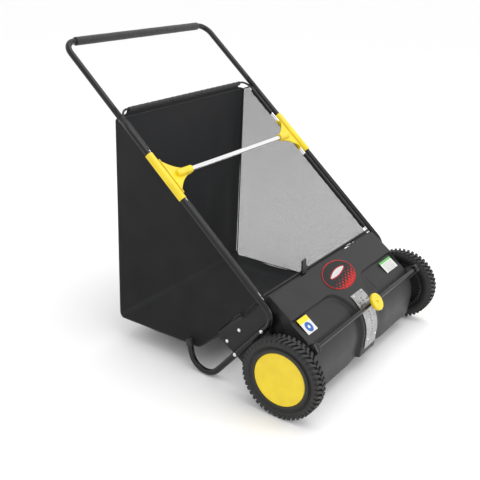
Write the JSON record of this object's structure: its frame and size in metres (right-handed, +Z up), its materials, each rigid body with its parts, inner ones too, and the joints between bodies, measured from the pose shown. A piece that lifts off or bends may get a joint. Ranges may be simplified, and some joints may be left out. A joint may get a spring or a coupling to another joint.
{
  "type": "push lawn sweeper",
  "caption": "Walk-behind lawn sweeper: wheel-driven rotary brush under a sloped hood, U handle, and a fabric leaf bag with mesh sides hung between the handle tubes.",
  "frame": {"origin": "on the floor under the middle of the machine's bounding box", "axes": "+X across the machine to its right wheel, -Y forwards to the nose, +Y back to the handle grip, +Z up"},
  "size_m": [0.894, 1.0339, 1.0041],
  "materials": {
    "hood_black": "satin black powder coat",
    "tube_black": "gloss black powder coat",
    "yellow_plastic": "moulded yellow, satin gloss",
    "chrome": "bright chrome plate",
    "zinc": "bright zinc plate",
    "arm_steel": "blackened steel",
    "bag_fabric": "coated black woven polyester",
    "bag_mesh": "open black polyester mesh",
    "foam": "soft closed-cell foam",
    "tyre_rubber": "moulded block tread",
    "black_plastic": "moulded black",
    "bristle": "stiff filament",
    "label_white": "printed vinyl",
    "badge_red": "doming on black"
  },
  "bodies": {
    "frame": {"hood": "hood_black", "strap": "zinc", "badge": "badge_red", "label_left": "label_white", "label_right": "label_white", "strap_screw_a": "zinc", "strap_screw_b": "zinc", "strap_screw_c": "zinc", "strap_screw_d": "zinc", "end_plate_left": "hood_black", "end_plate_right": "hood_black", "side_bracket_left": "tube_black", "side_bracket_right": "tube_black", "lower_tube_left": "tube_black", "lower_tube_right": "tube_black", "foot_cap_left": "black_plastic", "foot_cap_right": "black_plastic", "clip_bracket_left": "yellow_plastic", "clip_bracket_right": "yellow_plastic", "bag_side_left": "bag_mesh", "bag_side_right": "bag_mesh", "rod_sleeve_upper_left": "bag_fabric", "rod_sleeve_upper_right": "bag_fabric", "rod_sleeve_lower_left": "bag_fabric", "rod_sleeve_lower_right": "bag_fabric", "tube_bolt_front_left": "zinc", "tube_bolt_front_right": "zinc", "tube_bolt_rear_left": "zinc", "tube_bolt_rear_right": "zinc", "plate_bolt_upper_left": "zinc", "plate_bolt_upper_right": "zinc", "plate_bolt_lower_left": "zinc", "plate_bolt_lower_right": "zinc", "shaft_bushing_left": "black_plastic", "shaft_bushing_right": "black_plastic", "upper_handle": "tube_black", "foam_grip": "foam", "spreader_bar": "chrome", "bag_shell": "bag_fabric", "bag_frame_rod": "chrome", "bag_front_rod": "bag_fabric", "bag_hook_tab": "black_plastic"},
    "height_yoke": {"yoke_bar": "tube_black", "yoke_arm_left": "arm_steel", "yoke_arm_right": "arm_steel"},
    "lock": {"lock_pin": "zinc", "lock_knob": "yellow_plastic"},
    "wheel_left": {"tyre_left": "tyre_rubber", "wheel_rim_left": "black_plastic", "hub_cap_left": "yellow_plastic"},
    "wheel_right": {"tyre_right": "tyre_rubber", "wheel_rim_right": "black_plastic", "hub_cap_right": "yellow_plastic"},
    "brush": {"brush_shaft": "arm_steel", "bristle_row_1": "bristle", "bristle_row_2": "bristle", "bristle_row_3": "bristle", "bristle_row_4": "bristle", "pinion_left": "black_plastic", "pinion_right": "black_plastic"}
  },
  "joints": [
    {"name": "height_adjust", "type": "hinge", "parent": "frame", "child": "height_yoke", "pos_m": [0, -0.3339, 0.127], "axis": [1, 0, 0], "range_deg": [-12.6, 33.6]},
    {"name": "lock_slide", "type": "slide", "parent": "height_yoke", "child": "lock", "axis": [0, -0.7944, 0.6074], "range_m": [-0.003, 0.009]},
    {"name": "wheel_left_spin", "type": "hinge", "parent": "height_yoke", "child": "wheel_left", "pos_m": [-0.42, -0.3899, 0.127], "axis": [1, 0, 0], "continuous": true},
    {"name": "wheel_right_spin", "type": "hinge", "parent": "height_yoke", "child": "wheel_right", "pos_m": [0.42, -0.3899, 0.127], "axis": [1, 0, 0], "continuous": true},
    {"name": "brush_spin", "type": "hinge", "parent": "height_yoke", "child": "brush", "pos_m": [0, -0.3339, 0.127], "axis": [1, 0, 0], "continuous": true}
  ],
  "couplings": [
    {"joint": "wheel_right_spin", "follows": "wheel_left_spin", "ratio": 1},
    {"joint": "brush_spin", "follows": "wheel_left_spin", "ratio": 3.3333}
  ]
}
